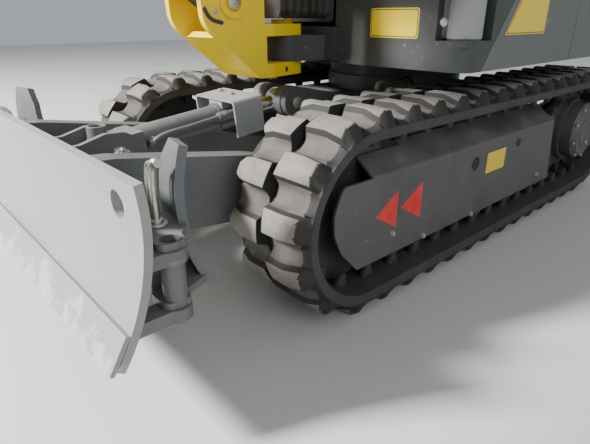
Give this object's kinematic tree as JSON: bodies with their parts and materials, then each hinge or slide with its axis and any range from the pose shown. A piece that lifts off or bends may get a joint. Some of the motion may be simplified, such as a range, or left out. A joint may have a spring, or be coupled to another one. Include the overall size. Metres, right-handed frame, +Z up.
{
  "type": "mini excavator",
  "caption": "Compact rubber-tracked excavator with cab, short round tail, swinging boom, trenching bucket and a dozer blade with folding wings.",
  "frame": {"origin": "centre of the machine's footprint box, on the ground", "axes": "+X forwards towards the bucket, +Y to the machine's left, +Z up"},
  "size_m": [3.2458, 0.99, 2.3292],
  "materials": {
    "paint_light": "satin",
    "paint_dark": "satin",
    "frame_grey": "satin",
    "post_yellow": "satin",
    "cast_grey": "rough",
    "rubber": "matte",
    "glass": "clear",
    "seat_fabric": "matte",
    "plastic": "matte",
    "rod_chrome": "polished",
    "wear_steel": "worn"
  },
  "bodies": {
    "centre": {"centre_frame": "frame_grey"},
    "track_side_left": {"track_frame_left": "frame_grey", "track_guard_left": "frame_grey", "idler_left": "cast_grey", "rollers_left": "cast_grey", "sprocket_left": "cast_grey", "travel_motor_left": "paint_light", "track_left": "rubber"},
    "track_side_right": {"track_frame_right": "frame_grey", "track_guard_right": "frame_grey", "idler_right": "cast_grey", "rollers_right": "cast_grey", "sprocket_right": "cast_grey", "travel_motor_right": "paint_light", "track_right": "rubber"},
    "blade": {"blade_plate": "frame_grey", "blade_edge": "wear_steel", "blade_frame": "frame_grey", "blade_pin": "wear_steel"},
    "wing_left": {"blade_wing_left": "frame_grey"},
    "wing_right": {"blade_wing_right": "frame_grey"},
    "blade_cylinder": {"blade_barrel": "frame_grey", "blade_cover": "frame_grey"},
    "blade_cylinder_rod": {"blade_rod": "rod_chrome"},
    "house": {"deck": "paint_dark", "swing_bracket": "cast_grey", "front_panel": "frame_grey", "side_covers": "paint_light", "counterweight": "paint_light", "floor_plate": "paint_dark", "right_housing": "paint_light", "engine_block": "cast_grey", "cab_frame": "paint_dark", "cab_glass": "glass", "seat": "seat_fabric", "consoles": "plastic"},
    "door": {"cab_door": "paint_dark", "door_glass": "glass"},
    "hood": {"engine_hood": "paint_light"},
    "post": {"swing_post": "post_yellow"},
    "boom": {"boom": "post_yellow"},
    "boom_cylinder": {"boom_barrel": "frame_grey"},
    "boom_cylinder_rod": {"boom_rod": "rod_chrome"},
    "arm": {"arm": "post_yellow"},
    "arm_cylinder": {"arm_barrel": "post_yellow"},
    "arm_cylinder_rod": {"arm_rod": "rod_chrome"},
    "bucket": {"bucket": "wear_steel"},
    "rocker": {"bucket_rocker": "frame_grey"},
    "link": {"bucket_link": "frame_grey"},
    "bucket_cylinder": {"bucket_barrel": "post_yellow"},
    "bucket_cylinder_rod": {"bucket_rod": "rod_chrome"}
  },
  "joints": [
    {"name": "left_track_slide", "type": "slide", "parent": "centre", "child": "track_side_left", "axis": [0, 1, 0], "range_m": [0, 0.155]},
    {"name": "right_track_slide", "type": "slide", "parent": "centre", "child": "track_side_right", "axis": [0, -1, 0], "range_m": [0, 0.155]},
    {"name": "blade_lift", "type": "hinge", "parent": "centre", "child": "blade", "pos_m": [-0.411, 0, 0.195], "axis": [0, -1, 0], "range_deg": [-24, 8]},
    {"name": "blade_cylinder_turn", "type": "hinge", "parent": "blade", "child": "blade_cylinder", "pos_m": [0.201, 0, 0.345], "axis": [0, -1, 0], "range_deg": [-2.67, 1.22]},
    {"name": "blade_cylinder_stroke", "type": "slide", "parent": "blade_cylinder", "child": "blade_cylinder_rod", "axis": [-0.9936, 0, 0.1128], "range_m": [-0.03343, 0.0963]},
    {"name": "wing_left_fold", "type": "hinge", "parent": "blade", "child": "wing_left", "pos_m": [0.306, 0.4685, 0.3], "axis": [0, 0, -1], "range_deg": [0, 172]},
    {"name": "wing_right_fold", "type": "hinge", "parent": "blade", "child": "wing_right", "pos_m": [0.306, -0.4685, 0.3], "axis": [0, 0, 1], "range_deg": [0, 172]},
    {"name": "slew", "type": "hinge", "parent": "centre", "child": "house", "pos_m": [-0.821, 0, 0.447], "axis": [0, 0, 1], "continuous": true},
    {"name": "boom_swing", "type": "hinge", "parent": "house", "child": "post", "pos_m": [-0.318, 0, 0.53], "axis": [0, 0, 1], "range_deg": [-50, 75]},
    {"name": "boom_lift", "type": "hinge", "parent": "post", "child": "boom", "pos_m": [-0.191, 0, 0.835], "axis": [0, -1, 0], "range_deg": [-45, 55]},
    {"name": "boom_cylinder_turn", "type": "hinge", "parent": "post", "child": "boom_cylinder", "pos_m": [-0.101, 0, 0.648], "axis": [0, -1, 0], "range_deg": [-42.5, 51.83]},
    {"name": "boom_cylinder_stroke", "type": "slide", "parent": "boom_cylinder", "child": "boom_cylinder_rod", "axis": [0.8283, 0, 0.5603], "range_m": [-0.14807, 0.18053]},
    {"name": "arm_crowd", "type": "hinge", "parent": "boom", "child": "arm", "pos_m": [1.46651, 0, 1.29442], "axis": [0, 1, 0], "range_deg": [-85, 33]},
    {"name": "arm_cylinder_turn", "type": "hinge", "parent": "boom", "child": "arm_cylinder", "pos_m": [0.52015, 0, 1.44408], "axis": [0, 1, 0], "range_deg": [-4.06, 1.88]},
    {"name": "arm_cylinder_stroke", "type": "slide", "parent": "arm_cylinder", "child": "arm_cylinder_rod", "axis": [0.9997, 0, -0.0248], "range_m": [-0.21399, 0.0843]},
    {"name": "bucket_curl", "type": "hinge", "parent": "arm", "child": "bucket", "pos_m": [1.29981, 0, 0.349], "axis": [0, 1, 0], "range_deg": [-68, 95]},
    {"name": "rocker_turn", "type": "hinge", "parent": "arm", "child": "rocker", "pos_m": [1.36727, 0, 0.53004], "axis": [0, 1, 0], "range_deg": [-38.11, 53.05]},
    {"name": "link_turn", "type": "hinge", "parent": "bucket", "child": "link", "pos_m": [1.39593, 0, 0.2935], "axis": [0, 1, 0], "range_deg": [-76.7, 55.04]},
    {"name": "bucket_cylinder_turn", "type": "hinge", "parent": "arm", "child": "bucket_cylinder", "pos_m": [1.58886, 0, 1.2109], "axis": [0, 1, 0], "range_deg": [-3.8, 5.11]},
    {"name": "bucket_cylinder_stroke", "type": "slide", "parent": "bucket_cylinder", "child": "bucket_cylinder_rod", "axis": [-0.0126, 0, -0.9999], "range_m": [-0.12948, 0.18009]},
    {"name": "door_swing", "type": "hinge", "parent": "house", "child": "door", "pos_m": [-1.002, 0.486, 1.4], "axis": [0, 0, 1], "range_deg": [0, 150]},
    {"name": "hood_swing", "type": "hinge", "parent": "house", "child": "hood", "pos_m": [-1.303, -0.428, 1], "axis": [0, 0, 1], "range_deg": [0, 80]}
  ],
  "couplings": [
    {"joint": "right_track_slide", "follows": "left_track_slide", "ratio": 1},
    {"joint": "blade_cylinder_turn", "follows": "blade_lift", "ratio": 0.090256},
    {"joint": "blade_cylinder_stroke", "follows": "blade_lift", "m_per_rad": -0.22513},
    {"joint": "boom_cylinder_turn", "follows": "boom_lift", "ratio": 0.93329},
    {"joint": "boom_cylinder_stroke", "follows": "boom_lift", "m_per_rad": 0.18598},
    {"joint": "arm_cylinder_turn", "follows": "arm_crowd", "ratio": 0.041876},
    {"joint": "arm_cylinder_stroke", "follows": "arm_crowd", "m_per_rad": 0.14289},
    {"joint": "rocker_turn", "follows": "bucket_curl", "ratio": 0.55312},
    {"joint": "link_turn", "follows": "bucket_curl", "ratio": -0.80212},
    {"joint": "bucket_cylinder_turn", "follows": "bucket_curl", "ratio": 0.048514},
    {"joint": "bucket_cylinder_stroke", "follows": "bucket_curl", "m_per_rad": 0.10741}
  ]
}
